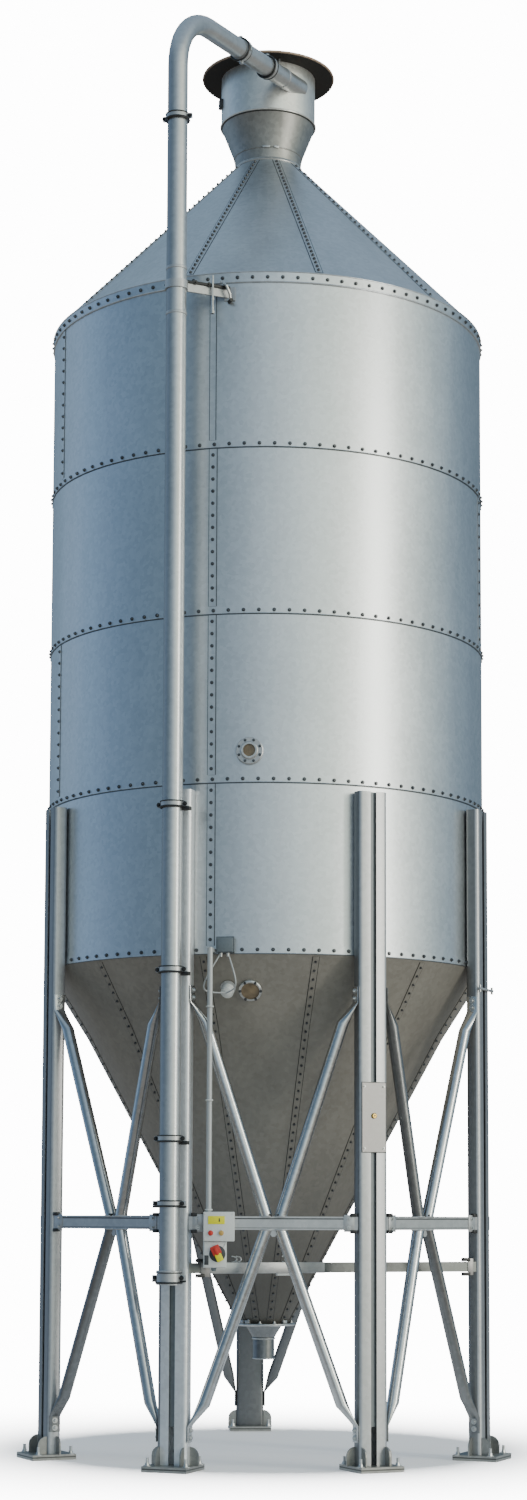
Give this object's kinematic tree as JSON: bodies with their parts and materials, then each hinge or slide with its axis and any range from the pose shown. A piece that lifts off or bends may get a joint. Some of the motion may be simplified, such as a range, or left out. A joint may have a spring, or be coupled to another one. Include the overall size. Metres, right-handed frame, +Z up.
{
  "type": "pellet silo",
  "caption": "Round galvanised steel silo on legs for wood pellets, with a cone roof, a hopper with an outlet spout, and a fill pipe up its side.",
  "frame": {"origin": "middle of the whole object's floor plan, at ground level under the base plates", "axes": "+Z up; -Y towards the side with the fill pipe and the control box; +X to the right seen from there"},
  "size_m": [2.7504, 2.9182, 8.2303],
  "materials": {
    "sheet_steel": "galvanised sheet, satin",
    "hopper_steel": "galvanised sheet in shade, dull",
    "frame_steel": "hot dip galvanised, satin",
    "pipe_steel": "galvanised tube, satin",
    "cap_steel": "dull dark brown",
    "grey_plastic": "matt",
    "window": "dusty"
  },
  "bodies": {
    "root": {"beam_front": "frame_steel", "beam_left": "frame_steel", "beam_rear_left": "frame_steel", "beam_rear_right": "frame_steel", "beam_right": "frame_steel", "brace_front_lower_left": "frame_steel", "brace_front_lower_right": "frame_steel", "brace_front_upper_left": "frame_steel", "brace_front_upper_right": "frame_steel", "brace_left_lower_left": "frame_steel", "brace_left_lower_right": "frame_steel", "brace_left_upper_left": "frame_steel", "brace_left_upper_right": "frame_steel", "brace_rear_left_lower_left": "frame_steel", "brace_rear_right_lower_right": "frame_steel", "brace_right_lower_left": "frame_steel", "brace_right_lower_right": "frame_steel", "brace_right_upper_left": "frame_steel", "brace_right_upper_right": "frame_steel", "cap_disc": "cap_steel", "conduit": "grey_plastic", "control_box": "grey_plastic", "eave_band": "sheet_steel", "eaves_bracket": "sheet_steel", "foot_front_left": "frame_steel", "foot_front_right": "frame_steel", "foot_left": "frame_steel", "foot_rear": "frame_steel", "foot_right": "frame_steel", "hopper_cone": "hopper_steel", "inlet_head": "sheet_steel", "isolator_switch": "grey_plastic", "junction_box": "grey_plastic", "leg_cover_plate": "frame_steel", "leg_front_left": "frame_steel", "leg_front_right": "frame_steel", "leg_left": "frame_steel", "leg_rear": "frame_steel", "leg_right": "frame_steel", "level_sensor": "grey_plastic", "outlet_flange": "sheet_steel", "outlet_spout": "sheet_steel", "pipe_bend": "pipe_steel", "pipe_clamp_high": "sheet_steel", "pipe_clamp_low": "sheet_steel", "pipe_clamp_middle": "sheet_steel", "pipe_end_coupling": "sheet_steel", "pipe_inlet_run": "pipe_steel", "pipe_riser": "pipe_steel", "pipe_riser_coupling": "sheet_steel", "ring_1": "sheet_steel", "ring_2": "sheet_steel", "ring_3": "sheet_steel", "ring_4": "sheet_steel", "roof_cone": "sheet_steel", "roof_neck": "sheet_steel", "sight_glass_hopper": "window", "sight_glass_wall": "sheet_steel", "tie_rail": "frame_steel"}
  },
  "joints": []
}
